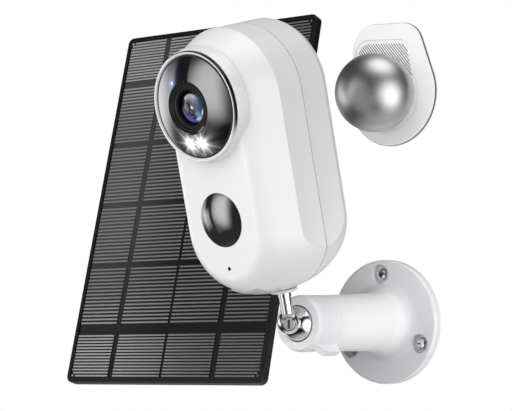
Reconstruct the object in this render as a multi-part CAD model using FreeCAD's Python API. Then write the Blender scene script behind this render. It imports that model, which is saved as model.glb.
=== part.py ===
import FreeCAD, Part
import math
import os
from FreeCAD import Vector, Placement, Rotation

os.makedirs("parts", exist_ok=True)

# Solar-powered security camera, as installed on a flat wall.  Millimetres, +Z up.
# Origin: centre of the camera bracket's wall plate, on the wall plane (y = 0).
# The wall's outward normal is -Y, so the object's front faces -Y.

# ---------------------------------------------------------------- driving dimensions
# camera housing (body coordinates: x right, -y forward, z up along the stud axis)
BODY_TILT = 15.0          # stud axis leans forward from vertical, degrees
BODY_PAN = -5.0           # housing turned about the stud axis, degrees
KNUCKLE = (0.0, -82.1, 0.7)   # knuckle centre of the ball stud = body origin
HALF_W = 32.0             # flat side planes
Z_TOP = 108.9             # centre height of the round top, and of the lens
Z_LOW = 49.0              # centre height of the rounded bottom
Y_FRONT = -32.6           # front face plane
Y_REAR = 20.5             # rear face plane
Y_SEAM = -0.8             # parting line of the two shells
WALL = 2.2                # shell wall
COLLAR_R0, COLLAR_R1, COLLAR_Y = 26.0, 25.2, -36.0
BEZEL_RO, BEZEL_RI, BEZEL_Y = 24.9, 23.35, -37.6
DOME_R, DOME_CY, DOME_EDGE = 50.0, 7.2, 23.2
LENS_HOOD_R = 11.9
LED_X, LED_DZ = 3.8, -16.1
STATUS_X, STATUS_DZ = -8.2, 11.5
PIR_Z, PIR_R, PIR_SAG = 56.4, 12.5, 3.2
MIC_Z, MIC_R = 33.9, 0.8
CELL_R, CELL_L, CELL_X, CELL_Y, CELL_Z = 9.2, 65.0, 9.7, 2.2, 41.0   # 18650 cells
DISH_R, DISH_MOUTH, DISH_Z = 20.4, 12.8, 80.0
STUD_R = 3.175            # 1/4-20 thread envelope
INSERT_BORE = 3.22
# camera bracket
PLATE_R, PLATE_T = 31.0, 5.5
PCD, SCREW_ANGLES, SCREW_SEAT = 48.0, (94.0, 214.0, 334.0), 2.0
NECK_END = 57.4
COLLAR_H0, COLLAR_H1, LOCK_R = 57.6, 75.6, 13.4
BALL_H, BALL_R = 73.1, 8.6
# magnetic ball mount
BM_X, BM_Z, BM_T = 3.5, 114.5, 3.0
BM_BALL_R, BM_BALL_Y, BM_BALL_Z = 19.65, -17.3, 113.9
# solar panel (panel coordinates: x right, y backwards, z up, front face at y = 0)
PAN_W, PAN_H, PAN_T, PAN_RC = 124.1, 196.0, 5.0, 3.5
PAN_C = (-94.3, -43.4, 63.4)
PAN_YAW, PAN_LEAN, PAN_ROLL = 3.74, -16.91, -1.36
PB_DIST, PB_R = 30.0, 7.0           # ball centre behind the panel's front face
PW_PCD, PW_ANGLES = 38.0, (90.0, 210.0, 330.0)


# ---------------------------------------------------------------- helpers
def V(x, y, z):
    return Vector(x, y, z)


def cyl(p, d, r, h):
    return Part.makeCylinder(r, h, Vector(*p), Vector(*d))


def box(x0, x1, y0, y1, z0, z1):
    return Part.makeBox(x1 - x0, y1 - y0, z1 - z0, Vector(x0, y0, z0))


def sph(p, r):
    return Part.makeSphere(r, Vector(*p))


def rbox(x0, x1, y0, y1, z0, z1, r, axis="y"):
    """Box with its four edges parallel to the axis rounded."""
    b = box(x0, x1, y0, y1, z0, z1)
    k = {"x": 0, "y": 1, "z": 2}[axis]
    es = []
    for e in b.Edges:
        d = e.Vertexes[1].Point - e.Vertexes[0].Point
        if abs(abs(d[k]) - d.Length) < 1e-6:
            es.append(e)
    return b.makeFillet(r, es)


def lathe(start, segs, origin, axis):
    """Revolve a closed profile of (radius, height); a 4-tuple is an arc through
    its first point to its second."""
    p = start
    edges = []
    for s in list(segs) + [start]:
        a = V(p[0], 0, p[1])
        if len(s) == 2:
            b = V(s[0], 0, s[1])
            if (b - a).Length > 1e-7:
                edges.append(Part.LineSegment(a, b).toShape())
            p = s
        else:
            m, b = V(s[0], 0, s[1]), V(s[2], 0, s[3])
            edges.append(Part.Arc(a, m, b).toShape())
            p = (s[2], s[3])
    f = Part.Face(Part.Wire(edges))
    sol = f.revolve(V(0, 0, 0), V(0, 0, 1), 360)
    sol = Part.Solid(sol.Shells[0]) if sol.ShapeType != "Solid" else sol
    if sol.Volume < 0:
        sol.reverse()
    sol.Placement = Placement(Vector(*origin), Rotation(V(0, 0, 1), Vector(*axis)))
    return sol


def arc90(p0, c, p1):
    """Arc segment for lathe(): quarter circle from p0 to p1 round the corner c."""
    r = math.hypot(p0[0] - c[0], p0[1] - c[1])
    m = (p0[0] + p1[0] - c[0], p0[1] + p1[1] - c[1])
    d = (c[0] - m[0], c[1] - m[1])
    n = math.hypot(*d)
    return (m[0] + d[0] / n * r, m[1] + d[1] / n * r, p1[0], p1[1])


def at(shape, pl):
    s = shape.copy()
    s.Placement = pl.multiply(s.Placement)
    return s


def fuse(*ss):
    s = ss[0]
    for o in ss[1:]:
        s = s.fuse(o)
    return s.removeSplitter()


def cut(s, *tools):
    for t in tools:
        s = s.cut(t)
    return s


def hull_circles(circles):
    """Counter-clockwise outline round circles (x, z, r) in the XZ plane at y = 0."""
    n = len(circles)
    tang = []
    for i in range(n):
        x1, z1, r1 = circles[i]
        x2, z2, r2 = circles[(i + 1) % n]
        L = math.hypot(x2 - x1, z2 - z1)
        dx, dz = (x2 - x1) / L, (z2 - z1) / L
        c = (r1 - r2) / L
        s = math.sqrt(1 - c * c)
        nx, nz = dx * c + dz * s, dz * c - dx * s
        tang.append(((x1 + r1 * nx, z1 + r1 * nz), (x2 + r2 * nx, z2 + r2 * nz)))
    edges = []
    for i in range(n):
        a, b = tang[i]
        edges.append(Part.LineSegment(V(a[0], 0, a[1]), V(b[0], 0, b[1])).toShape())
        x, z, r = circles[(i + 1) % n]
        c = tang[(i + 1) % n][0]
        a0 = math.atan2(b[1] - z, b[0] - x)
        a1 = math.atan2(c[1] - z, c[0] - x)
        while a1 < a0:
            a1 += 2 * math.pi
        am = (a0 + a1) / 2
        edges.append(Part.Arc(V(b[0], 0, b[1]), V(x + r * math.cos(am), 0, z + r * math.sin(am)),
                              V(c[0], 0, c[1])).toShape())
    return Part.Wire(edges)


def prism(wire, y0, y1):
    f = Part.Face(wire)
    s = f.extrude(V(0, y1 - y0, 0))
    s.translate(V(0, y0, 0))
    return s


NODES = {}


def node(name, *shapes):
    ss = []
    for s in shapes:
        ss += s.Solids
    for s in ss:
        if not s.isValid() or s.Volume <= 0:
            print("BAD", name, s.isValid(), s.Volume)
    NODES[name] = ss
    sh = ss[0] if len(ss) == 1 else Part.Compound(ss)
    sh.exportStep("parts/%s.step" % name)
    bb = sh.BoundBox
    print("%-22s solids %d  vol %9.1f  x %.1f..%.1f  y %.1f..%.1f  z %.1f..%.1f" % (
        name, len(ss), sum(s.Volume for s in ss), bb.XMin, bb.XMax, bb.YMin, bb.YMax, bb.ZMin, bb.ZMax))


# ---------------------------------------------------------------- housing surfaces
def bez(pts, n=240):
    out = []
    for i in range(n + 1):
        t = i / n
        if len(pts) == 3:
            w = ((1 - t) ** 2, 2 * t * (1 - t), t * t)
        else:
            w = ((1 - t) ** 3, 3 * t * (1 - t) ** 2, 3 * t * t * (1 - t), t ** 3)
        out.append((sum(a * p[1] for a, p in zip(w, pts)), sum(a * p[0] for a, p in zip(w, pts))))
    return out


W_CURVE = (bez([(19.2, -32.6), (25.5, -32.6), (32.0, -15.7)]) + bez([(32.0, -15.7), (34.5, -9.2), (34.5, -1.0)])
           + bez([(34.5, -1.0), (34.5, 6.5), (32.0, 14.0)]) + bez([(32.0, 14.0), (29.8, 20.5), (25.0, 20.5)]))
H_CURVE = (bez([(19.2, -32.6), (26.0, -32.6), (32.3, -20.0), (32.3, -1.0)])
           + bez([(32.3, -1.0), (32.3, 8.0), (28.5, 20.5), (22.0, 20.5)]))


def interp(curve, y):
    for (ya, ra), (yb, rb) in zip(curve, curve[1:]):
        if ya <= y <= yb and yb > ya:
            return ra + (rb - ra) * (y - ya) / (yb - ya)
    return curve[0][1] if y < curve[0][0] else curve[-1][1]


def quarter(p0, c, p1):
    b = Part.BezierCurve()
    b.setPoles([V(*p0), V(*c), V(*p1)])
    b.setWeight(2, math.sqrt(0.5))
    return b.toShape()


def section(w, h, y):
    zt, zl = Z_TOP, Z_LOW
    return Part.Wire([
        quarter((w, y, zt), (w, y, zt + w), (0, y, zt + w)),
        quarter((0, y, zt + w), (-w, y, zt + w), (-w, y, zt)),
        Part.LineSegment(V(-w, y, zt), V(-w, y, zl)).toShape(),
        quarter((-w, y, zl), (-w, y, zl - h), (0, y, zl - h)),
        quarter((0, y, zl - h), (w, y, zl - h), (w, y, zl)),
        Part.LineSegment(V(w, y, zl), V(w, y, zt)).toShape()])


SECT_Y = (-32.6, -32.45, -32.1, -31.5, -30.6, -29.4, -27.8, -25.8, -23.2, -20.0, -16.0, -11.5, -6.5, -1.0,
          4.0, 8.5, 12.5, 15.6, 17.8, 19.2, 20.0, 20.35, 20.5)


def pebble(off, y0, y1):
    """Full-bodied housing form, inset by off, running from y0 to y1."""
    ws = []
    for y in SECT_Y:
        t = y0 + (y - Y_FRONT) * (y1 - y0) / (Y_REAR - Y_FRONT)
        ws.append(section(interp(W_CURVE, y) - off, interp(H_CURVE, y) - off, t))
    return Part.makeLoft(ws, True, False)


def slab(off):
    """Flat-sided envelope: round top of radius HALF_W and straight sides."""
    r = HALF_W - off
    return fuse(cyl((0, -60, Z_TOP), (0, 1, 0), r, 100), box(-r, r, -60, 40, 0, Z_TOP))


def outline_prism(off, y0, y1):
    """Prism on the housing's cross-section at the seam, inset by off."""
    w, h = interp(W_CURVE, Y_SEAM) - off, interp(H_CURVE, Y_SEAM) - off
    return prism(Part.Wire(section(w, h, 0).Edges), y0, y1).common(slab(off))


OUTER = pebble(0, Y_FRONT, Y_REAR).common(slab(0))
INNER = pebble(WALL, Y_FRONT + WALL, Y_REAR - WALL).common(slab(WALL))

BODY = Placement(Vector(*KNUCKLE), Rotation(V(1, 0, 0), BODY_TILT).multiply(Rotation(V(0, 0, 1), BODY_PAN)))


def bnode(name, *shapes):
    node(name, *[at(s, BODY) for s in shapes])


def bc(x, y0, y1, z, r):
    """Cylinder along body y between y0 and y1."""
    return cyl((x, y0, z), (0, 1, 0), r, y1 - y0)


# ---------------------------------------------------------------- camera housing
SCREW_POS = ((-22.6, 57.0), (22.6, 57.0), (-22.6, 87.0), (22.6, 87.0))
BOSS_R = 7.4
boss = cyl((0, 0, 14.0), (0, 0, 1), BOSS_R, 14.2)
boss_gap = cyl((0, 0, 12.0), (0, 0, 1), BOSS_R + 0.12, 16.4)
gasket_groove = outline_prism(0.65, -1.8, 0.2).cut(outline_prism(1.6, -1.9, 0.3))
gasket = outline_prism(0.7, -1.75, 0.15).cut(outline_prism(1.55, -1.8, 0.2))

# front shell
front = OUTER.common(box(-50, 50, -60, Y_SEAM - 0.12, 0, 160))
collar = lathe((0, 30.5), [(COLLAR_R0 + 0.5, 30.5), (COLLAR_R0, -COLLAR_Y - 2.6), (COLLAR_R1 + 0.25, -COLLAR_Y - 0.35),
                           (COLLAR_R1, -COLLAR_Y), (0, -COLLAR_Y)], (0, 0, Z_TOP), (0, -1, 0))
front = front.fuse(collar)
front = front.cut(INNER)
posts = []
for x, z in SCREW_POS:
    posts.append(bc(x, -31.0, Y_SEAM - 0.12, z, 3.2).common(OUTER))
for x in (-16.0, 16.0):
    posts.append(bc(x, -31.0, -23.3, PIR_Z, 2.1))
port_wall = rbox(-10.8, 10.8, -27.6, -12.2, 10.0, 28.0, 1.5, "z").common(OUTER)
front = fuse(front, port_wall, *posts)
front = cut(front, bc(0, -60, -25, Z_TOP, BEZEL_RO - 0.65))
front = cut(front, bc(0, -60, -25, PIR_Z, PIR_R - 0.1), bc(0, -60, -25, MIC_Z, MIC_R),
            bc(0, -30.55, -27, MIC_Z, 2.15))
front = cut(front, rbox(-9.2, 9.2, -26.2, -13.8, 10.0, 25.6, 1.2, "z"))      # port pocket
front = cut(front, rbox(-7.9, -1.9, -22.1, -17.9, 25.0, 29.0, 1.0, "z"),      # usb opening
            rbox(-0.4, 8.0, -18.4, -16.2, 25.0, 29.0, 0.4, "z"),              # card slot
            cyl((4.5, -22.6, 25.0), (0, 0, 1), 1.35, 4.0))                    # reset button hole
front = cut(front, boss_gap, gasket_groove)
for x, z in SCREW_POS:
    front = front.cut(bc(x, -16.0, 0.0, z, 1.25))
for x in (-16.0, 16.0):
    front = front.cut(bc(x, -29.5, -23.0, PIR_Z, 0.9))
front = front.cut(box(-60, 60, Y_SEAM - 0.12, 60, -10, 170))
bnode("front_shell", front)

# rear shell, with the concave dish for the ball mount and the tripod boss
rear = OUTER.common(box(-50, 50, Y_SEAM + 0.12, 60, 0, 160)).cut(INNER)
rear = rear.fuse(bc(0, 13.7, 19.0, DISH_Z, 15.0).common(OUTER))
adds = []
for x, z in SCREW_POS:
    adds.append(bc(x, Y_SEAM + 0.12, 19.5, z, 3.2).common(OUTER))
adds.append(boss.common(OUTER))
rear = fuse(rear, *adds)
dish_c = Y_REAR + math.sqrt(DISH_R ** 2 - DISH_MOUTH ** 2)
rear = cut(rear, sph((0, dish_c, DISH_Z), DISH_R))
for x, z in SCREW_POS:
    rear = cut(rear, bc(x, -1.0, 22, z, 1.6), bc(x, 11.0, 24, z, 2.9))
for i in range(5):
    rear = rear.cut(rbox(-7.0, 7.0, 15, 24, 28.6 + 2.4 * i, 29.8 + 2.4 * i, 0.55, "y"))
rear = cut(rear, cyl((0, 0, 10), (0, 0, 1), INSERT_BORE + 0.6, 20), cyl((0, 0, 16.95), (0, 0, 1), 4.8, 9.2))
rear = rear.cut(gasket_groove)
bnode("rear_shell", rear)
bnode("shell_gasket", gasket.cut(cyl((0, 0, 12.0), (0, 0, 1), BOSS_R + 0.3, 16.8)))
bnode("tripod_insert", cut(cyl((0, 0, 17.0), (0, 0, 1), 4.78, 9.1), cyl((0, 0, 16), (0, 0, 1), INSERT_BORE, 12)))

scr = []
for x, z in SCREW_POS:
    s = lathe((0, 0), [(1.15, 0), (1.15, 12.52), (2.5, 12.52), (2.5, 13.7), (2.0, 14.2), (0, 14.2)], (x, -1.5, z), (0, 1, 0))
    s = cut(s, box(x - 1.6, x + 1.6, 11.6, 14, z - 0.3, z + 0.3), box(x - 0.3, x + 0.3, 11.6, 14, z - 1.6, z + 1.6))
    scr.append(s)
bnode("shell_screws", *scr)

# lens bezel and black face dome
bz = lathe((BEZEL_RI, -COLLAR_Y - 4.3), [(BEZEL_RO - 0.72, -COLLAR_Y - 4.3), (BEZEL_RO - 0.72, -COLLAR_Y + 0.0),
           (BEZEL_RO, -COLLAR_Y + 0.02), (BEZEL_RO, -BEZEL_Y - 0.35),
           arc90((BEZEL_RO, -BEZEL_Y - 0.35), (BEZEL_RO, -BEZEL_Y), (BEZEL_RO - 0.35, -BEZEL_Y)),
           (BEZEL_RI + 0.5, -BEZEL_Y), (BEZEL_RI, -BEZEL_Y - 0.45)], (0, 0, Z_TOP), (0, -1, 0))
bnode("lens_bezel", bz)
dome = sph((0, DOME_CY, Z_TOP), DOME_R).common(bc(0, -60, -20, Z_TOP, DOME_EDGE))
dome = dome.cut(sph((0, DOME_CY, Z_TOP), DOME_R - 2.0).common(bc(0, -60, -20, Z_TOP, DOME_EDGE - 2.0)))
dome = dome.common(box(-40, 40, -60, -32.6, 0, 160))
dome = cut(dome, bc(0, -60, -20, Z_TOP, LENS_HOOD_R + 0.1),
           bc(-LED_X, -60, -20, Z_TOP + LED_DZ, 1.85), bc(LED_X, -60, -20, Z_TOP + LED_DZ, 1.85),
           bc(STATUS_X, -60, -20, Z_TOP + STATUS_DZ, 0.8))
bnode("face_plate", dome)

# lens
hood = lathe((7.45, 32.8), [(12.9, 32.8), (12.9, 34.4), (LENS_HOOD_R, 34.4), (LENS_HOOD_R, 41.2), (11.6, 41.45),
                            (10.8, 41.45), (10.5, 41.0), (9.9, 41.0), (9.6, 40.5), (8.9, 40.5), (8.6, 40.0),
                            (8.1, 39.9), (7.45, 39.4)], (0, 0, Z_TOP), (0, -1, 0))
bnode("lens_hood", hood)
g1 = cyl((0, -38.0, Z_TOP), (0, -1, 0), 7.4, 4).common(sph((0, -38.0 + 8.6, Z_TOP), 11.2))
bnode("lens_front_glass", g1)
g2 = cyl((0, -33.0, Z_TOP), (0, -1, 0), 5.6, 3.4).common(sph((0, -24.4, Z_TOP), 11.8))
bnode("lens_rear_glass", g2)
hold = lathe((4.6, 24.0), [(7.0, 24.0), (7.0, 32.6), (7.2, 32.6), (7.2, 37.8), (5.7, 37.8), (5.7, 32.9), (4.6, 32.9)],
             (0, 0, Z_TOP), (0, -1, 0))
hold = fuse(hold, rbox(-8.5, 8.5, -24.2, -18.3, Z_TOP - 8.5, Z_TOP + 8.5, 1.0, "y"))
hold = cut(hold, box(-5.2, 5.2, -22.5, -18.0, Z_TOP - 5.2, Z_TOP + 5.2), bc(0, -33.2, -20, Z_TOP, 4.6))
bnode("lens_holder", hold)
board = cut(rbox(-13, 13, -18.3, -17.1, Z_TOP - 12, Z_TOP + 12, 1.0, "y"),
            *[bc(sx * 11, -19, -16, Z_TOP + sz * 10, 0.95) for sx in (-1, 1) for sz in (-1, 1)])
board = fuse(board, box(-3.6, 3.6, -19.5, -18.3, Z_TOP - 3.0, Z_TOP + 3.0), box(-6, 6, -17.1, -16.0, Z_TOP - 11, Z_TOP - 7.5))
bnode("image_sensor_board", board)

# flood lights, status light
zl = Z_TOP + LED_DZ
bnode("flood_led_board", rbox(-8.5, 8.5, -35.3, -34.3, zl - 3.0, zl + 2.6, 0.8, "y"))
bnode("flood_leds", *[box(s * LED_X - 1.4, s * LED_X + 1.4, -36.1, -35.3, zl - 1.4, zl + 1.4) for s in (-1, 1)])
bnode("flood_led_lenses", *[lathe((0, 36.15), [(2.3, 36.15), (2.3, 36.6), (1.75, 36.7), (1.75, 39.7), (1.3, 40.0, 0.7, 40.12), (0, 40.15)],
                                  (s * LED_X, 0, zl), (0, -1, 0)) for s in (-1, 1)])
bnode("status_led", lathe((0, 33.0), [(1.1, 33.0), (1.1, 35.6), (0.72, 35.9), (0.72, 40.2), (0.55, 40.42), (0, 40.5)],
                          (STATUS_X, 0, Z_TOP + STATUS_DZ), (0, -1, 0)))

# motion sensor
R_D = (PIR_R ** 2 + PIR_SAG ** 2) / (2 * PIR_SAG)
cy = Y_FRONT - PIR_SAG + R_D
pir = sph((0, cy, PIR_Z), R_D).common(bc(0, -60, Y_FRONT, PIR_Z, PIR_R))
pir = pir.fuse(bc(0, Y_FRONT, -29.5, PIR_Z, PIR_R - 0.2)).fuse(bc(0, -30.3, -29.5, PIR_Z, 13.6))
pir = pir.cut(sph((0, cy, PIR_Z), R_D - 0.9).common(bc(0, -60, Y_FRONT, PIR_Z, PIR_R - 1.2))).cut(bc(0, Y_FRONT, -29, PIR_Z, PIR_R - 1.2))
bnode("pir_dome", pir.removeSplitter())
bnode("pir_sensor", fuse(bc(0, -27.4, -23.3, PIR_Z, 4.1), bc(0, -23.9, -23.3, PIR_Z, 4.7)))
bnode("pir_board", cut(rbox(-18.4, 18.4, -23.3, -22.1, PIR_Z - 6.5, PIR_Z + 6.5, 2.0, "y"),
                       bc(-16, -24, -22, PIR_Z, 1.1), bc(16, -24, -22, PIR_Z, 1.1)))
bnode("microphone", fuse(bc(0, -30.4, -28.3, MIC_Z, 2.0), box(-2.0, 2.0, -28.3, -27.5, MIC_Z - 1.6, MIC_Z + 4.5)))

# internal frame, main board, battery pack, speaker, antenna, magnet
chas = rbox(-18.6, 18.6, -13.0, -11.2, 38.0, 132.0, 6.0, "y").fuse(rbox(-27.0, 27.0, -13.0, -11.2, 92.0, 118.0, 6.0, "y"))
for sx in (-1, 1):
    for sz in (-1, 1):
        chas = chas.fuse(bc(sx * 11, -17.1, -12.0, Z_TOP + sz * 10, 2.0))
    chas = chas.fuse(bc(sx * 15.5, -14.0, -12.0, 42.0, 2.0)).fuse(bc(sx * 15.5, -14.0, -12.0, 88.0, 2.0))
    chas = chas.fuse(rbox(sx * 11.5 - 1.4, sx * 11.5 + 1.4, -34.3, -12.0, zl - 0.5, zl + 2.4, 0.5, "y"))
    chas = chas.fuse(box(sx * 9.5 - 3.4, sx * 9.5 + 3.4, -34.3, -33.1, zl - 0.5, zl + 2.4))
zs = Z_TOP + STATUS_DZ
chas = fuse(chas, bc(STATUS_X, -33.0, -20.5, zs, 1.15), bc(STATUS_X, -21.5, -12.0, zs + 3.5, 1.15),
            box(STATUS_X - 1.1, STATUS_X + 1.1, -22.0, -20.5, zs - 1.0, zs + 4.5))
for sx in (-1, 1):
    for sz in (-1, 1):
        chas = chas.cut(bc(sx * 11, -17.2, -12.6, Z_TOP + sz * 10, 0.75))
    chas = cut(chas, bc(sx * 15.5, -14.2, -11.0, 42.0, 0.75), bc(sx * 15.5, -14.2, -11.0, 88.0, 0.75))
chas = chas.removeSplitter()
bnode("chassis", chas)
mb = rbox(-18.4, 18.4, -15.6, -14.0, 38.0, 92.0, 2.0, "y")
for sx in (-1, 1):
    mb = cut(mb, bc(sx * 15.5, -16, -13, 42.0, 1.1), bc(sx * 15.5, -16, -13, 88.0, 1.1),
             bc(sx * 11.5, -17, -13, zl + 1.0, 2.6))
mb = fuse(mb, box(-14, -7, -17.0, -15.6, 44, 53), box(4, 12, -16.8, -15.6, 44, 50), box(-15, -9, -17.2, -15.6, 72, 80))
bnode("main_board", mb)
sh = rbox(-7, 13, -18.0, -15.6, 62, 80, 0.8, "y").cut(box(-6.7, 12.7, -17.7, -15.0, 62.3, 79.7))
bnode("processor_shield", sh)
bs = []
for x, z, y in ((-15.5, 42.0, -15.6), (15.5, 42.0, -15.6), (-15.5, 88.0, -15.6), (15.5, 88.0, -15.6)):
    bs.append(lathe((0, 0), [(0.7, 0), (0.7, 3.6), (1.7, 3.6), (1.7, 4.6), (0, 4.6)], (x, y + 3.6, z), (0, -1, 0)))
for sx in (-1, 1):
    for sz in (-1, 1):
        bs.append(lathe((0, 0), [(0.7, 0), (0.7, 4.6), (1.7, 4.6), (1.7, 5.4), (0, 5.4)], (sx * 11, -18.3 + 4.6, Z_TOP + sz * 10), (0, -1, 0)))
    bs.append(lathe((0, 0), [(0.85, 0), (0.85, 5.4), (1.9, 5.4), (1.9, 6.3), (0, 6.3)], (sx * 16, -22.1 - 5.4, PIR_Z), (0, 1, 0)))
bnode("board_screws", *bs)
tray = rbox(-19.4, 19.4, -11.2, -2.0, 37.6, 109.6, 2.0, "y")
for s in (-1, 1):
    tray = tray.cut(cyl((s * CELL_X, CELL_Y, 39.6), (0, 0, 1), CELL_R + 0.15, 68.0))
tray = tray.cut(box(-17.5, 17.5, -6.0, 0, 39.6, 107.6))
for x, z in SCREW_POS:
    tray = tray.cut(bc(x, -12, 0, z, 3.5))
tray = cut(tray, bc(-15.5, -12, -10.4, 42.0, 1.2), bc(15.5, -12, -10.4, 42.0, 1.2), bc(-15.5, -12, -10.4, 88.0, 1.2), bc(15.5, -12, -10.4, 88.0, 1.2))
bnode("battery_tray", tray)
cells = [lathe((0, 0), [(CELL_R - 0.6, 0), arc90((CELL_R - 0.6, 0), (CELL_R, 0), (CELL_R, 0.6)), (CELL_R, CELL_L - 2.2),
                        (CELL_R - 0.7, CELL_L - 1.2), (3.2, CELL_L - 1.2), (3.2, CELL_L), (0, CELL_L)],
               (s * CELL_X, CELL_Y, CELL_Z), (0, 0, 1)) for s in (-1, 1)]
bnode("battery_cells", *cells)
bnode("speaker", fuse(rbox(-10, 10, 13.4, 18.2, 27.6, 39.8, 1.5, "y"), bc(0, 11.6, 13.4, 33.7, 5.0)).common(INNER))
bnode("wifi_antenna", rbox(-14, 14, -11.2, -10.4, 118.5, 129.5, 1.5, "y"))
bnode("rear_magnet", lathe((0, 11.55), [(11.0, 11.55), (11.0, 13.65), (0, 13.65)], (0, 0, DISH_Z), (0, 1, 0)))

# charging and card ports under the rubber flap
bnode("io_board", rbox(-9.6, 9.6, -25.0, -13.2, 28.0, 29.0, 0.8, "z").common(INNER))
usb = rbox(-7.75, -2.05, -21.95, -18.05, 23.0, 28.0, 0.9, "z").cut(rbox(-7.45, -2.35, -21.65, -18.35, 22.0, 27.0, 0.7, "z"))
usb = usb.fuse(box(-6.6, -3.2, -20.35, -19.65, 23.4, 27.5)).removeSplitter()
bnode("usb_port", usb)
bnode("sd_slot", rbox(-0.25, 7.85, -18.25, -16.35, 25.0, 28.0, 0.3, "z").cut(box(0.3, 7.3, -17.7, -16.9, 24.0, 27.4)))
bnode("reset_button", lathe((0, 24.6), [(0.9, 24.6), (1.2, 24.9), (1.2, 27.3), (0, 27.3)], (4.5, -22.6, 0), (0, 0, 1)))
FLAP = (9.0, -26.0, -14.0)
fl = pebble(-0.45, Y_FRONT - 0.45, Y_REAR + 0.45).common(rbox(-9.0, 9.0, -26.0, -14.0, 12.0, 30.0, 2.2, "z"))
fl = fl.cut(pebble(1.5, Y_FRONT + 1.5, Y_REAR - 1.5))
fl = fuse(fl, rbox(-7.0, -2.8, -21.3, -18.7, 19.5, 21.9, 0.6, "z").common(pebble(1.0, Y_FRONT + 1, Y_REAR - 1)))
bnode("port_flap", fl)

# ---------------------------------------------------------------- camera bracket (axis -Y)
Y0, AX = (0, 0, 0), (0, -1, 0)
base = lathe((11.0, 0), [(PLATE_R - 0.4, 0), (PLATE_R, 0.4), (PLATE_R, PLATE_T - 1.5),
                         arc90((PLATE_R, PLATE_T - 1.5), (PLATE_R, PLATE_T), (PLATE_R - 1.5, PLATE_T)),
                         (21.2, PLATE_T), (16.9, 7.3, 15.0, PLATE_T + 6.4), (14.75, 13.6), (14.45, 14.3),
                         (13.25, NECK_END - 0.3), (12.95, NECK_END), (11.0, NECK_END), (11.0, 69.0), (9.3, 69.0), (9.3, 52.0), (11.0, 50.0)],
             Y0, AX)
for a in SCREW_ANGLES:
    x, z = PCD / 2 * math.cos(math.radians(a)), PCD / 2 * math.sin(math.radians(a))
    base = cut(base, cyl((x, 1, z), AX, 2.3, 20), cyl((x, -SCREW_SEAT, z), AX, 4.75, 10))
bb = base.removeSplitter()
node("bracket_base", bb)


def wall_screw(x, z, seat, rh, hh, rs, rt, lt):
    """Pan-head cross-recess screw: head on the seat, plain shank, thread beyond y = 0."""
    s = lathe((0, -lt), [(0.3, -lt), (rt, -lt + 3.5), (rt, 0), (rs, 0), (rs, seat), (rh - 0.1, seat), (rh, seat + 0.25),
                         (rh - 0.6, seat + hh * 0.72, rh * 0.45, seat + hh), (0, seat + hh)], (x, 0, z), AX)
    y1, y0 = -(seat + hh * 0.42), -(seat + hh + 1)
    a = rh * 0.56
    return cut(s, box(x - a, x + a, y0, y1, z - 0.42, z + 0.42), box(x - 0.42, x + 0.42, y0, y1, z - a, z + a))


node("bracket_screws", *[wall_screw(PCD / 2 * math.cos(math.radians(a)), PCD / 2 * math.sin(math.radians(a)),
                                    SCREW_SEAT, 3.3, 2.1, 1.8, 2.0, 9.0) for a in SCREW_ANGLES])

PBC = (0, -BALL_H, 0)
cupc = lathe((4.0, 60.0), [(9.0, 60.0), (9.0, 69.2), (4.0, 69.2)], Y0, AX).cut(sph(PBC, BALL_R + 0.2))
node("ball_cup", cupc)

lock = lathe((11.3, COLLAR_H0), [(LOCK_R - 0.3, COLLAR_H0), (LOCK_R, COLLAR_H0 + 0.3), (LOCK_R, 72.6),
                                 (13.2, 73.7, 12.75, 74.3), (12.6, 74.6), (12.3, COLLAR_H1), (8.0, COLLAR_H1), (8.0, 70.0), (11.3, 69.4)], Y0, AX)
lock = lock.cut(sph(PBC, BALL_R + 0.45))
# finger wing on the lower right of the lock collar
WA = math.radians(-54.0)
ux, uz = math.cos(WA), math.sin(WA)
wing_face = Part.Face(Part.Wire([
    Part.LineSegment(V(12.2, 0, COLLAR_H0), V(17.7, 0, COLLAR_H0)).toShape(),
    Part.LineSegment(V(17.7, 0, COLLAR_H0), V(17.7, 0, 65.6)).toShape(),
    Part.Arc(V(17.7, 0, 65.6), V(16.3, 0, 69.4), V(13.2, 0, 71.9)).toShape(),
    Part.LineSegment(V(13.2, 0, 71.9), V(12.2, 0, 71.9)).toShape(),
    Part.LineSegment(V(12.2, 0, 71.9), V(12.2, 0, COLLAR_H0)).toShape()]))
m = FreeCAD.Matrix(ux, -uz, 0, 0, 0, 0, -1, 0, uz, ux, 0, 0, 0, 0, 0, 1)
wing = wing_face.extrude(V(0, 3.6, 0))
wing.translate(V(0, -1.8, 0))
wing = wing.transformGeometry(m)
lock = lock.fuse(wing).removeSplitter()
node("cam_lock_collar", lock)

Rb = Rotation(V(1, 0, 0), BODY_TILT).multiply(Rotation(V(0, 0, 1), BODY_PAN))
stud = at(fuse(cyl((0, 0, 0), (0, 0, 1), 2.95, 12.6),
               lathe((0, 12.4), [(STUD_R, 12.4), (STUD_R, 24.0), (STUD_R - 0.6, 24.6), (0, 24.6)], (0, 0, 0), (0, 0, 1))), BODY)
knuckle = sph(KNUCKLE, 5.5)
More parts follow.
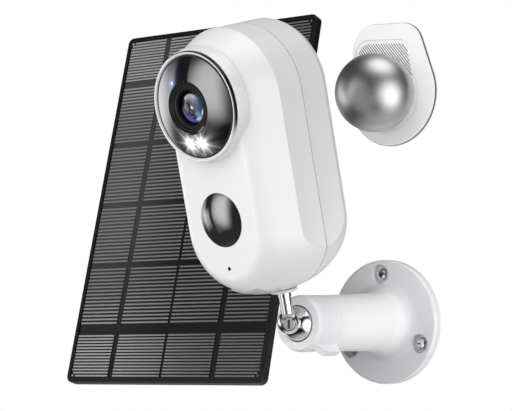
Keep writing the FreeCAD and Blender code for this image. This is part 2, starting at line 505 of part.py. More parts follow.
# the knuckle's flat carries a slotted pivot screw
EYE = Placement(Vector(*KNUCKLE), Rotation(V(0, 0, 1), 36.0).multiply(Rotation(V(1, 0, 0), 10.0)))
knuckle = knuckle.cut(at(box(-7, 7, -7, -4.45, -7, 7), EYE)).cut(at(cyl((0, -4.0, 0), (0, -1, 0), 3.2, 3), EYE))
pin = lathe((0, 3.8), [(2.85, 3.8), (2.85, 4.7), (2.55, 4.95), (0, 4.95)], (0, 0, 0), (0, -1, 0))
pin = pin.cut(box(-0.42, 0.42, -6, -4.3, -2.1, 2.1))
ball = fuse(sph(PBC, BALL_R), knuckle, stud, at(pin, EYE))
node("cam_ball_stud", ball)
nut = lathe((STUD_R + 0.06, 14.9), [(6.2, 14.9), (6.6, 15.3), (6.6, 16.0), (6.3, 16.35), (STUD_R + 0.06, 16.35)], (0, 0, 0), (0, 0, 1))
for k in range(12):
    t = math.radians(30 * k)
    nut = nut.cut(cyl((6.95 * math.cos(t), 6.95 * math.sin(t), 12), (0, 0, 1), 0.75, 6))
node("cam_lock_nut", at(nut, BODY))

# ---------------------------------------------------------------- magnetic ball mount
bm = [(BM_X, BM_Z, 26.3), (BM_X + 6.0, BM_Z + 22.6, 13.0), (BM_X - 10.8, BM_Z + 23.6, 12.7)]


def bm_wire(d):
    return hull_circles([(x, z, r - d) for x, z, r in bm])


plate = prism(bm_wire(0), -BM_T, -0.8)
front_edges = [e for e in plate.Edges if all(abs(v.Point.y + BM_T) < 1e-6 for v in e.Vertexes) and abs(e.BoundBox.YMax + BM_T) < 1e-3]
plate = plate.makeFillet(1.3, front_edges)
# recess with a band of slanting grooves round the ball
inner_c = [(BM_X - 3.0, BM_Z, 19.0), (BM_X + 4.5, BM_Z + 19.6, 7.4), (BM_X - 14.2, BM_Z + 20.6, 7.6)]
plate = plate.cut(prism(hull_circles(inner_c), -BM_T - 0.5, -BM_T + 0.5))
rim_edges = [e for e in plate.Edges if abs(e.BoundBox.YMax + BM_T) < 1e-3 and abs(e.BoundBox.YMin + BM_T) < 1e-3 and e.BoundBox.ZMax < BM_Z + 28.6
             and e.BoundBox.XMax < BM_X + 16.5 and e.BoundBox.XMin > BM_X - 22.5]
plate = plate.makeFillet(0.45, rim_edges)
keep = prism(hull_circles([(x, z, r - 1.8) for x, z, r in inner_c]), -BM_T, -BM_T + 0.95)
grooves = []
for i in range(-36, 37):
    rb = box(-0.22, 0.22, -BM_T + 0.3, -BM_T + 0.95, -50, 50)
    rb.Placement = Placement(V(BM_X + 1.48 * i, 0, BM_Z + 6), Rotation(V(0, 1, 0), -40))
    grooves.append(rb)
grooves = Part.Compound(grooves).common(keep)
plate = plate.cut([g for g in grooves.Solids if g.Volume > 0.02])
plate = cut(plate, cyl((BM_X, 0, BM_BALL_Z), (0, -1, 0), 2.1, 10), cyl((BM_X, 0, BM_BALL_Z), (0, -1, 0), 4.2, 2.0))
plate = plate.fuse(cyl((BM_X, -BM_T + 0.6, BM_BALL_Z), (0, -1, 0), 14.8, 0.6))
plate = plate.cut(cyl((BM_X, 0, BM_BALL_Z), (0, -1, 0), 2.1, 10)).removeSplitter()
node("ball_mount_plate", plate)
dshell = sph((BM_X, BM_BALL_Y, BM_BALL_Z), BM_BALL_R).cut(sph((BM_X, BM_BALL_Y, BM_BALL_Z), BM_BALL_R - 1.4))
dshell = dshell.common(box(-60, 60, -60, -BM_T - 0.02, 60, 160))
node("ball_mount_dome", dshell)
core = sph((BM_X, BM_BALL_Y, BM_BALL_Z), BM_BALL_R - 1.45).common(box(-60, 60, -14.0, -BM_T - 0.02, 60, 160))
core = core.cut(cyl((BM_X, 0, BM_BALL_Z), (0, -1, 0), 1.95, 12.2))
node("ball_mount_core", core)
node("ball_mount_screw", lathe((0, 0.95), [(3.9, 0.95), (3.9, 1.95), (1.9, 1.95), (1.9, 11.6), (0, 12.1)], (BM_X, 0, BM_BALL_Z), (0, -1, 0)))
node("ball_mount_pad", cut(prism(bm_wire(1.0), -0.8, 0)))

# ---------------------------------------------------------------- solar panel
PAN = Placement(Vector(*PAN_C), Rotation(V(0, 0, 1), PAN_YAW).multiply(Rotation(V(1, 0, 0), PAN_LEAN)).multiply(Rotation(V(0, 1, 0), PAN_ROLL)))


def pnode(name, *shapes):
    node(name, *[at(s, PAN) for s in shapes])


hw, hh = PAN_W / 2, PAN_H / 2
frame = rbox(-hw, hw, 0, PAN_T, -hh, hh, PAN_RC, "y")
outer_edges = [e for e in frame.Edges if abs(e.BoundBox.YMax) < 1e-6]
frame = frame.makeFillet(0.7, outer_edges)
frame = frame.cut(rbox(-hw + 2.4, hw - 2.4, -1, 3.2, -hh + 2.4, hh - 2.4, 1.8, "y"))
frame = frame.fuse(cyl((0, PAN_T - 0.5, 0), (0, 1, 0), 9.0, 9.5))
for k in range(6):
    t = math.radians(60 * k + 30)
    rib = box(8.0, 26.0, PAN_T - 0.5, PAN_T + 3.0, -0.9, 0.9)
    rib.rotate(V(0, 0, 0), V(0, 1, 0), 60 * k + 30)
    frame = frame.fuse(rib)
frame = cut(frame, cyl((0, 4.4, 0), (0, 1, 0), 4.8, 9.2), cyl((0, 4.4, 0), (0, 1, 0), STUD_R + 0.6, 12),
            box(-4.0, 4.0, 3.0, 6.0, -46.0, -40.0))
frame = frame.removeSplitter()
pnode("panel_frame", frame)
pnode("panel_backsheet", rbox(-hw + 2.5, hw - 2.5, 0.9, 3.2, -hh + 2.5, hh - 2.5, 1.7, "y"))
COLS = ((-59.2, -35.3), (-32.0, -1.8), (-0.2, 29.5), (33.0, 59.2))
ROWS = ((71.7, 94.9), (35.6, 67.3), (0.9, 32.1), (-33.0, -2.5), (-66.6, -36.4), (-94.9, -72.7))
tiles = []
for x0, x1 in COLS:
    for z0, z1 in ROWS:
        tiles.append(box(x0, x1, 0.45, 0.9, z0, z1))
pnode("panel_cells", *tiles)
pnode("panel_insert", cut(cyl((0, 4.5, 0), (0, 1, 0), 4.78, 9.0), cyl((0, 4, 0), (0, 1, 0), INSERT_BORE, 12)))
jb = rbox(-15, 15, PAN_T, PAN_T + 8.5, -52, -34, 2.0, "y")
jb = jb.cut(rbox(-13.4, 13.4, PAN_T - 0.5, PAN_T + 6.9, -50.4, -35.6, 1.2, "y"))
jb = jb.cut(cyl((0, PAN_T + 4.2, -56), (0, 0, 1), 2.9, 8))
pnode("panel_junction_box", jb)
pnode("panel_cable_gland", cut(fuse(cyl((0, PAN_T + 4.2, -50.3), (0, 0, -1), 2.85, 1.8), cyl((0, PAN_T + 4.2, -52.0), (0, 0, -1), 4.1, 2.2),
                                    Part.makeCone(3.6, 2.6, 5.5, V(0, PAN_T + 4.2, -54.2), V(0, 0, -1))),
                               cyl((0, PAN_T + 4.2, -49), (0, 0, -1), 1.7, 14)))

nrm = PAN.Rotation.multVec(V(0, -1, 0))
PBALL = Vector(*PAN_C) - nrm * PB_DIST
PWC = (PBALL.x, 0, PBALL.z)
BH = -PBALL.y                                  # ball centre height above the wall
pb = lathe((7.6, 0), [(23.6, 0), (24.0, 0.4), (24.0, 2.8), arc90((24.0, 2.8), (24.0, 4.0), (22.8, 4.0)),
                      (14.0, 4.0), (12.2, 5.8), (11.0, 6.0), (11.0, BH + 2.2), (5.0, BH + 2.2), (5.0, 3.0), (7.6, 3.0)], PWC, AX)
pb = pb.cut(sph((PBALL.x, PBALL.y, PBALL.z), PB_R + 0.2))
pos = []
for a in PW_ANGLES:
    x, z = PWC[0] + PW_PCD / 2 * math.cos(math.radians(a)), PWC[2] + PW_PCD / 2 * math.sin(math.radians(a))
    pos.append((x, z))
    pb = cut(pb, cyl((x, 1, z), AX, 2.0, 20), cyl((x, -2.4, z), AX, 3.6, 10))
node("panel_bracket_base", pb.removeSplitter())
node("panel_bracket_screws", *[wall_screw(x, z, 2.4, 3.1, 1.9, 1.55, 1.75, 18.0) for x, z in pos])
ring = lathe((11.3, 6.6), [(13.6, 6.6), (14.1, 7.1), (14.1, BH + 0.2), (13.6, BH + 0.7), (11.3, BH + 0.7)], PWC, AX)
for k in range(18):
    t = math.radians(20 * k)
    ring = ring.cut(cyl((PWC[0] + 14.6 * math.cos(t), -6.0, PWC[2] + 14.6 * math.sin(t)), AX, 0.9, BH))
node("panel_lock_ring", ring)
ps = fuse(cyl((0, PB_DIST, 0), (0, -1, 0), 2.8, 12.5), lathe((0, 12.3), [(STUD_R, 12.3), (STUD_R, 24.2), (STUD_R - 0.6, 24.8), (0, 24.8)], (0, PB_DIST, 0), (0, -1, 0)),
          sph((0, PB_DIST, 0), PB_R))
pnode("panel_ball_stud", ps)
pn = lathe((STUD_R + 0.06, 12.5), [(5.6, 12.5), (6.0, 12.9), (6.0, 15.2), (5.6, 15.6), (STUD_R + 0.06, 15.6)], (0, PB_DIST, 0), (0, -1, 0))
for k in range(6):
    t = math.radians(60 * k)
    pn = pn.cut(cyl((6.7 * math.cos(t), PB_DIST - 11, 6.7 * math.sin(t)), (0, -1, 0), 1.1, 7))
pnode("panel_lock_nut", pn)

print("nodes", len(NODES))
fx = BODY.Rotation.multVec(V(1, 0, 0))
fz = BODY.Rotation.multVec(V(0, 0, 1))
fp = BODY.multVec(V(0, FLAP[2], 17.6))
print("stud axis", tuple(round(c, 6) for c in fz), "flap axis", tuple(round(c, 6) for c in fx), "flap point", tuple(round(c, 4) for c in fp))
print("panel normal", tuple(round(c, 6) for c in nrm), "panel ball", tuple(round(c, 4) for c in PBALL), "panel wall centre", PWC)
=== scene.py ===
import math

import bmesh
import bpy
from mathutils import Euler, Matrix, Vector

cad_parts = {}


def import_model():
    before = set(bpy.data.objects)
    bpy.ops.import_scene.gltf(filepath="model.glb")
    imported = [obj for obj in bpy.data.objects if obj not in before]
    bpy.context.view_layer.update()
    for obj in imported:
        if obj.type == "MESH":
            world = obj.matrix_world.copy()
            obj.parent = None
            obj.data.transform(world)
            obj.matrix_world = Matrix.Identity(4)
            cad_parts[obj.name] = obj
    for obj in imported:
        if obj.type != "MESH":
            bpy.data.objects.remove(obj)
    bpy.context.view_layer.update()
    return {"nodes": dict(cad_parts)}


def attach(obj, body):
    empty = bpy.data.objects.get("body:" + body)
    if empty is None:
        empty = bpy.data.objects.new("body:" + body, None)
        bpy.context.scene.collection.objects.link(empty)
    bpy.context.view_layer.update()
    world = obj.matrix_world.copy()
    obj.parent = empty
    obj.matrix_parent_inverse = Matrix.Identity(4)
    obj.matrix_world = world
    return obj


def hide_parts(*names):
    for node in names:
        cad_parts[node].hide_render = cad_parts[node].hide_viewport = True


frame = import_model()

MM = 0.001
scene = bpy.context.scene

# ---------------------------------------------------------------- local frames (world = M @ local, local in mm)


def rot(axis, deg):
    return Matrix.Rotation(math.radians(deg), 3, axis)


BODY_R = rot("X", 15.0) @ rot("Z", -5.0)
BODY_O = Vector((0.0, -82.1, 0.7)) * MM
PAN_R = rot("Z", 3.74) @ rot("X", -16.91) @ rot("Y", -1.36)
PAN_O = Vector((-94.3, -43.4, 63.4)) * MM
FRAMES = {
    "body": (BODY_O, BODY_R),
    "pan": (PAN_O, PAN_R),
    "wall": (Vector((0, 0, 0)), Matrix.Identity(3)),
    "bracket": (Vector((0, 0, 0)), rot("X", 90.0)),          # local z = -Y, out of the wall
    "mount": (Vector((3.5, -17.3, 113.9)) * MM, Matrix.Identity(3)),
    "pbracket": (Vector((-96.17226, 0, 54.67392)) * MM, rot("X", 90.0)),
    "eye": (Vector((0.0, -82.1, 0.7)) * MM, rot("Z", 36.0) @ rot("X", 10.0)),   # pivot screw of the knuckle
}


def world(fr, p):
    o, r = FRAMES[fr]
    return o + r @ (Vector(p) * MM)


# ---------------------------------------------------------------- node graph helper
class Graph:
    def __init__(self, name):
        self.mat = bpy.data.materials.new(name)
        self.mat.use_nodes = True
        self.nt = self.mat.node_tree
        self.nt.nodes.clear()
        self.out = self.nt.nodes.new("ShaderNodeOutputMaterial")
        self.tc = None

    def node(self, kind, **props):
        n = self.nt.nodes.new(kind)
        for k, v in props.items():
            setattr(n, k, v)
        return n

    def link(self, a, b):
        self.nt.links.new(a, b)

    def put(self, sock, v):
        if isinstance(v, bpy.types.NodeSocket):
            self.link(v, sock)
        else:
            sock.default_value = v

    def coords(self, fr):
        """Object coordinates turned into the local frame, in millimetres."""
        if self.tc is None:
            self.tc = self.node("ShaderNodeTexCoord")
        m = self.node("ShaderNodeMapping", vector_type="TEXTURE")
        o, r = FRAMES[fr]
        m.inputs["Location"].default_value = o
        m.inputs["Rotation"].default_value = r.to_euler("XYZ")
        m.inputs["Scale"].default_value = (MM, MM, MM)
        self.link(self.tc.outputs["Object"], m.inputs["Vector"])
        return m.outputs["Vector"]

    def split(self, v):
        s = self.node("ShaderNodeSeparateXYZ")
        self.link(v, s.inputs[0])
        return s.outputs[0], s.outputs[1], s.outputs[2]

    def m(self, op, a, b=None, c=None, clamp=False):
        n = self.node("ShaderNodeMath", operation=op, use_clamp=clamp)
        self.put(n.inputs[0], a)
        if b is not None:
            self.put(n.inputs[1], b)
        if c is not None:
            self.put(n.inputs[2], c)
        return n.outputs[0]

    def ramp01(self, v, a, b, smooth=True):
        """0 at a, 1 at b."""
        n = self.node("ShaderNodeMapRange", interpolation_type="SMOOTHSTEP" if smooth else "LINEAR", clamp=True)
        self.put(n.inputs["Value"], v)
        n.inputs["From Min"].default_value = a
        n.inputs["From Max"].default_value = b
        n.inputs["To Min"].default_value = 0.0
        n.inputs["To Max"].default_value = 1.0
        return n.outputs["Result"]

    def lerp(self, v, a, b):
        n = self.node("ShaderNodeMapRange", clamp=True)
        self.put(n.inputs["Value"], v)
        n.inputs["To Min"].default_value = a
        n.inputs["To Max"].default_value = b
        return n.outputs["Result"]

    def mix(self, f, a, b, blend="MIX"):
        n = self.node("ShaderNodeMix", data_type="RGBA", blend_type=blend)
        self.put(n.inputs[0], f)
        for i, v in ((6, a), (7, b)):
            if isinstance(v, bpy.types.NodeSocket):
                self.link(v, n.inputs[i])
            else:
                n.inputs[i].default_value = (*v, 1.0) if len(v) == 3 else v
        return n.outputs[2]

    def noise(self, vec, scale, detail=3.0, rough=0.5):
        n = self.node("ShaderNodeTexNoise")
        n.inputs["Scale"].default_value = scale
        n.inputs["Detail"].default_value = detail
        n.inputs["Roughness"].default_value = rough
        if vec is not None:
            self.link(vec, n.inputs["Vector"])
        return n.outputs["Fac"]

    def voronoi(self, vec, scale, feature="F1"):
        n = self.node("ShaderNodeTexVoronoi", feature=feature)
        n.inputs["Scale"].default_value = scale
        self.link(vec, n.inputs["Vector"])
        return n.outputs["Distance"]

    def bump(self, height, strength, dist=0.00005, chain=None):
        n = self.node("ShaderNodeBump")
        n.inputs["Strength"].default_value = strength
        n.inputs["Distance"].default_value = dist
        self.link(height, n.inputs["Height"])
        if chain is not None:
            self.link(chain, n.inputs["Normal"])
        return n.outputs["Normal"]

    def shader(self, **kw):
        p = self.node("ShaderNodeBsdfPrincipled")
        for k, v in kw.items():
            s = p.inputs[k.replace("_", " ")]
            if isinstance(v, bpy.types.NodeSocket):
                self.link(v, s)
            elif isinstance(v, tuple) and len(v) == 3 and s.type == "RGBA":
                s.default_value = (*v, 1.0)
            else:
                s.default_value = v
        self.link(p.outputs[0], self.out.inputs["Surface"])
        return p


MATS = {}


def moulded(name, fr, col, dark, rough, rvar=0.05, grain=2.2, gstr=0.05, coat=0.0, ior=1.5, coat_rough=0.06, edge=0.0):
    """Moulded plastic: slight colour drift, mottled gloss, fine moulding texture."""
    g = Graph(name)
    v = g.coords(fr)
    n1 = g.noise(v, 0.06, 3)
    n2 = g.noise(v, 0.9, 4, 0.6)
    c = g.mix(n1, dark, col)
    r = g.lerp(n2, rough - rvar, rough + rvar)
    b = g.bump(g.noise(v, grain, 4, 0.6), gstr, 0.00004)
    b = g.bump(g.noise(v, 0.12, 2), 0.05, 0.0004, b)
    kw = dict(Base_Color=c, Roughness=r, Normal=b, IOR=ior)
    if coat:
        kw.update(Coat_Weight=coat, Coat_Roughness=coat_rough)
    g.shader(**kw)
    MATS[name] = g.mat
    return g.mat


def metal(name, fr, col, dark, rough, rvar=0.05, brush=None, gstr=0.04, fine=6.0):
    """Metal with a fine surface finish; brush stretches the finish along one local axis."""
    g = Graph(name)
    v = g.coords(fr)
    if brush:
        mp = g.node("ShaderNodeMapping")
        mp.inputs["Scale"].default_value = brush
        g.link(v, mp.inputs["Vector"])
        v2 = mp.outputs["Vector"]
    else:
        v2 = v
    n1 = g.noise(v, 0.15, 3)
    n2 = g.noise(v2, fine, 3, 0.6)
    c = g.mix(n1, dark, col)
    r = g.lerp(n2, rough - rvar, rough + rvar)
    b = g.bump(n2, gstr, 0.00003)
    g.shader(Base_Color=c, Metallic=1.0, Roughness=r, Normal=b)
    MATS[name] = g.mat
    return g.mat


# ---------------------------------------------------------------- materials
moulded("housing_white", "body", (0.90, 0.90, 0.905), (0.875, 0.875, 0.882), 0.3, 0.04, 2.6, 0.04, coat=0.25, coat_rough=0.12)
moulded("bracket_white", "bracket", (0.83, 0.83, 0.845), (0.8, 0.8, 0.82), 0.42, 0.05, 3.2, 0.09)
moulded("nut_white", "body", (0.84, 0.84, 0.85), (0.8, 0.8, 0.815), 0.4, 0.05, 3.2, 0.08)
moulded("rubber_grey", "body", (0.6, 0.6, 0.61), (0.55, 0.55, 0.56), 0.6, 0.06, 3.5, 0.15)
# mid-grey rubber pad; its grey also stands in for the soft cast shadow at the plate's edge
moulded("rubber_pad_shadow_grey", "wall", (0.42, 0.42, 0.43), (0.36, 0.36, 0.37), 0.65, 0.06, 3.5, 0.15)
moulded("rubber_black", "wall", (0.03, 0.03, 0.03), (0.02, 0.02, 0.02), 0.7, 0.06, 3.5, 0.2)
moulded("black_plastic", "body", (0.022, 0.022, 0.024), (0.014, 0.014, 0.016), 0.42, 0.06, 3.0, 0.12)
moulded("black_satin_panel", "pan", (0.009, 0.009, 0.0095), (0.006, 0.006, 0.0065), 0.38, 0.06, 3.0, 0.14, ior=1.4)
moulded("black_satin_bracket", "pbracket", (0.022, 0.022, 0.023), (0.014, 0.014, 0.015), 0.42, 0.06, 3.0, 0.14)
moulded("grey_plastic", "body", (0.32, 0.33, 0.34), (0.26, 0.27, 0.28), 0.5, 0.05, 3.0, 0.12)
moulded("nylon", "bracket", (0.16, 0.16, 0.165), (0.1, 0.1, 0.105), 0.5, 0.05, 3.0, 0.1)
metal("chrome_bracket", "bracket", (0.86, 0.86, 0.87), (0.78, 0.78, 0.8), 0.1, 0.04, None, 0.03, 1.2)


def chrome_stud():
    """Bright plated ball and knuckle; painted shade darkens the pivot screw's slot and a ring round its head."""
    g = Graph("chrome_stud")
    v = g.coords("bracket")
    c = g.mix(g.noise(v, 0.15, 3), (0.78, 0.78, 0.8), (0.86, 0.86, 0.87))
    e = g.coords("eye")
    x, y, z = g.split(e)
    ax = g.m("ABSOLUTE", x)
    az = g.m("ABSOLUTE", z)
    r = g.m("SQRT", g.m("ADD", g.m("MULTIPLY", x, x), g.m("MULTIPLY", z, z)))
    # painted shade: the pivot screw's slot and a ring round its head are darkened
    front = g.ramp01(y, -3.6, -3.9)
    slot = g.m("MULTIPLY", g.ramp01(ax, 0.62, 0.44), g.ramp01(az, 2.25, 2.05))
    ring = g.m("MULTIPLY", g.ramp01(r, 2.72, 2.9), g.ramp01(r, 3.5, 3.3))
    k = g.m("MULTIPLY", front, g.m("MAXIMUM", slot, g.m("MULTIPLY", ring, 0.75)))
    c = g.mix(k, c, (0.12, 0.12, 0.122))
    rr = g.lerp(g.noise(v, 1.2, 3, 0.6), 0.06, 0.14)
    b = g.bump(g.noise(v, 1.2, 3, 0.6), 0.03, 0.00003)
    g.shader(Base_Color=c, Metallic=1.0, Roughness=rr, Normal=b)
    return g.mat


MATS["chrome_stud"] = chrome_stud()
metal("chrome_panel", "pan", (0.8, 0.8, 0.81), (0.7, 0.7, 0.72), 0.14, 0.05, None, 0.03, 1.2)
metal("steel_ball", "mount", (0.58, 0.58, 0.582), (0.54, 0.54, 0.545), 0.40, 0.03, None, 0.12, 7.0)
metal("steel_plain", "body", (0.6, 0.6, 0.61), (0.48, 0.48, 0.5), 0.32, 0.08, (0.2, 1, 3), 0.08, 3.0)
metal("steel_bracket", "pbracket", (0.6, 0.6, 0.61), (0.48, 0.48, 0.5), 0.3, 0.08, None, 0.08, 3.0)
metal("brass", "body", (0.78, 0.57, 0.27), (0.62, 0.44, 0.2), 0.3, 0.08, None, 0.08, 3.0)


def mount_plate():
    """White moulded plate; painted shade darkens the floor of the slanting grooves."""
    g = Graph("mount_white")
    v = g.coords("wall")
    x, y, z = g.split(v)
    c = g.mix(g.noise(v, 0.06, 3), (0.85, 0.85, 0.852), (0.87, 0.87, 0.872))
    # painted shade on the groove floors
    groove_shade = g.m("MULTIPLY", g.ramp01(y, -2.46, -2.34), g.ramp01(y, -1.2, -1.6))
    c = g.mix(groove_shade, c, (0.10, 0.10, 0.102))
    r = g.lerp(g.noise(v, 0.9, 4, 0.6), 0.4, 0.5)
    b = g.bump(g.noise(v, 3.4, 4, 0.6), 0.1, 0.00004)
    g.shader(Base_Color=c, Roughness=r, Normal=b)
    return g.mat


MATS["mount_white"] = mount_plate()


def bezel():
    """Plated ring: bright satin lip; round the upper right its outer edge carries a painted dark reflection."""
    g = Graph("bezel_plated")
    v = g.coords("body")
    x, y, z = g.split(v)
    dz = g.m("ADD", z, -108.9)
    r = g.m("SQRT", g.m("ADD", g.m("MULTIPLY", x, x), g.m("MULTIPLY", dz, dz)))
    th = g.m("ARCTAN2", dz, x)
    # painted dark reflection: the outer edge turns black over an arc at the upper right
    arc = g.m("MULTIPLY", g.ramp01(th, math.radians(-40), math.radians(-14)), g.ramp01(th, math.radians(122), math.radians(100)))
    outer = g.ramp01(r, 24.36, 24.46)
    lip = g.m("SUBTRACT", 1.0, g.m("MULTIPLY", arc, outer))
    side = g.mix(g.noise(v, 0.3, 3), (0.008, 0.008, 0.009), (0.014, 0.014, 0.015))
    lipc = g.mix(g.noise(v, 0.3, 3), (0.88, 0.88, 0.89), (0.93, 0.93, 0.94))
    c = g.mix(lip, side, lipc)
    rr = g.lerp(lip, 0.12, 0.5)
    rr = g.m("ADD", rr, g.m("MULTIPLY", g.noise(v, 2.0, 3), 0.05))
    g.shader(Base_Color=c, Roughness=rr, Metallic=0.25, IOR=1.5, Normal=g.bump(g.noise(v, 1.5, 3), 0.03, 0.00003))
    return g.mat


MATS["bezel_plated"] = bezel()


def face_plate():
    """Black lacquered dome with painted light spilling from the two flood lights and the status light: a glow and
    starburst rays drawn as emission.
    """
    g = Graph("face_plate_black")
    v = g.coords("body")
    x, y, z = g.split(v)
    glow = None
    # painted glow: a bright core and starburst rays round each flood light
    for sx, ph in ((-3.8, 0.4), (3.8, 1.1)):
        dx = g.m("ADD", x, -sx)
        dz = g.m("ADD", z, -92.8)
        r = g.m("SQRT", g.m("ADD", g.m("MULTIPLY", dx, dx), g.m("MULTIPLY", dz, dz)))
        th = g.m("ARCTAN2", dz, dx)
        ray = g.m("POWER", g.m("ABSOLUTE", g.m("COSINE", g.m("MULTIPLY_ADD", th, 4.0, ph))), 7.0)
        ray2 = g.m("POWER", g.m("ABSOLUTE", g.m("COSINE", g.m("MULTIPLY_ADD", th, 9.0, ph * 3))), 5.0)
        rays = g.m("ADD", g.m("MULTIPLY", ray, 0.75), g.m("MULTIPLY_ADD", ray2, 0.35, 0.22))
        core = g.m("EXPONENT", g.m("MULTIPLY", g.m("POWER", g.m("DIVIDE", r, 2.5), 2.0), -1.0))
        halo = g.m("MULTIPLY", g.m("EXPONENT", g.m("MULTIPLY", r, -0.40)), rays)
        tot = g.m("ADD", g.m("MULTIPLY", core, 1.5), g.m("MULTIPLY", halo, 2.3))
        glow = tot if glow is None else g.m("ADD", glow, tot)
    # painted blue glow round the status light
    dx = g.m("ADD", x, 8.2)
    dz = g.m("ADD", z, -120.4)
    r = g.m("SQRT", g.m("ADD", g.m("MULTIPLY", dx, dx), g.m("MULTIPLY", dz, dz)))
    blue = g.m("MULTIPLY", g.m("EXPONENT", g.m("MULTIPLY", r, -0.70)), 0.75)
    cw = g.node("ShaderNodeCombineColor")
    g.link(glow, cw.inputs[0]); g.link(glow, cw.inputs[1]); g.link(glow, cw.inputs[2])
    cb = g.mix(1.0, cw.outputs[0], (0, 0, 0), "ADD")
    bl = g.node("ShaderNodeCombineColor")
    g.link(g.m("MULTIPLY", blue, 0.16), bl.inputs[0])
    g.link(g.m("MULTIPLY", blue, 0.42), bl.inputs[1])
    g.link(g.m("MULTIPLY", blue, 1.0), bl.inputs[2])
    painted_light = g.mix(1.0, cb, bl.outputs[0], "ADD")
    c = g.mix(g.noise(v, 0.2, 3), (0.003, 0.003, 0.0035), (0.005, 0.005, 0.006))
    rr = g.lerp(g.noise(v, 0.5, 4), 0.03, 0.07)
    b = g.bump(g.noise(v, 0.25, 2), 0.04, 0.0003)
    g.shader(Base_Color=c, Roughness=rr, IOR=2.2, Coat_Weight=1.0, Coat_Roughness=0.02, Coat_IOR=1.9, Normal=b,
             Emission_Color=painted_light, Emission_Strength=1.0)
    return g.mat


MATS["face_plate_black"] = face_plate()


def pir():
    g = Graph("sensor_window_black")
    v = g.coords("body")
    x, y, z = g.split(v)
    c = g.mix(g.noise(v, 0.3, 3), (0.012, 0.012, 0.013), (0.018, 0.018, 0.019))
    # painted reflection: the lower part of the window is a lighter grey
    c = g.mix(g.ramp01(z, 58.0, 50.0), c, (0.03, 0.03, 0.031))
    rr = g.lerp(g.noise(v, 0.8, 4), 0.05, 0.09)
    b = g.bump(g.noise(v, 0.3, 2), 0.04, 0.0003)
    b = g.bump(g.m("MULTIPLY", x, -0.15), 1.0, 0.001, b)          # the window sits a little askew in its seat
    g.shader(Base_Color=c, Roughness=rr, IOR=3.0, Normal=b)
    return g.mat


MATS["sensor_window_black"] = pir()


def hood():
    """Anodised lens barrel: fine turned grooves about the lens axis, brighter crests, and painted highlights on its rim
    and on two rings inside.
    """
    g = Graph("lens_barrel_black")
    v = g.coords("body")
    x, y, z = g.split(v)
    dz = g.m("ADD", z, -108.9)
    r = g.m("SQRT", g.m("ADD", g.m("MULTIPLY", x, x), g.m("MULTIPLY", dz, dz)))
    wave = g.m("SINE", g.m("MULTIPLY", r, 24.0))
    fine = g.noise(v, 4.0, 3)
    c = g.mix(fine, (0.0025, 0.0025, 0.0027), (0.007, 0.007, 0.0072))
    rr = g.lerp(g.noise(v, 0.8, 4), 0.3, 0.42)
    b = g.bump(wave, 0.12, 0.00003)
    b = g.bump(fine, 0.08, 0.00003, b)
    # painted highlights on the polished outer edge: two short bright arcs low on the rim, and faint bright turned rings
    # inside, drawn as emission
    th = g.m("ARCTAN2", dz, x)
    d = g.m("DIVIDE", g.m("ADD", r, -11.45), 0.17)
    rim = g.m("EXPONENT", g.m("MULTIPLY", g.m("MULTIPLY", d, d), -1.0))
    arc1 = g.m("MULTIPLY", g.ramp01(th, math.radians(-134), math.radians(-120)), g.ramp01(th, math.radians(-94), math.radians(-104)))
    arc2 = g.m("MULTIPLY", g.ramp01(th, math.radians(-74), math.radians(-66)), g.ramp01(th, math.radians(-42), math.radians(-52)))
    e = g.m("MULTIPLY", rim, g.m("ADD", g.m("MULTIPLY", arc1, 0.30), g.m("MULTIPLY", arc2, 0.45)))
    for rk, wk, lv in ((10.1, 0.14, 0.035), (8.75, 0.12, 0.045)):
        dk = g.m("DIVIDE", g.m("ADD", r, -rk), wk)
        e = g.m("ADD", e, g.m("MULTIPLY", g.m("EXPONENT", g.m("MULTIPLY", g.m("MULTIPLY", dk, dk), -1.0)), lv))
    painted_highlight_colour = g.node("ShaderNodeCombineColor")
    g.link(e, painted_highlight_colour.inputs[0]); g.link(e, painted_highlight_colour.inputs[1]); g.link(e, painted_highlight_colour.inputs[2])
    g.shader(Base_Color=c, Roughness=rr, IOR=1.27, Coat_Weight=0.04, Coat_Roughness=0.2, Normal=b,
             Emission_Color=painted_highlight_colour.outputs[0], Emission_Strength=1.0)
    return g.mat


MATS["lens_barrel_black"] = hood()


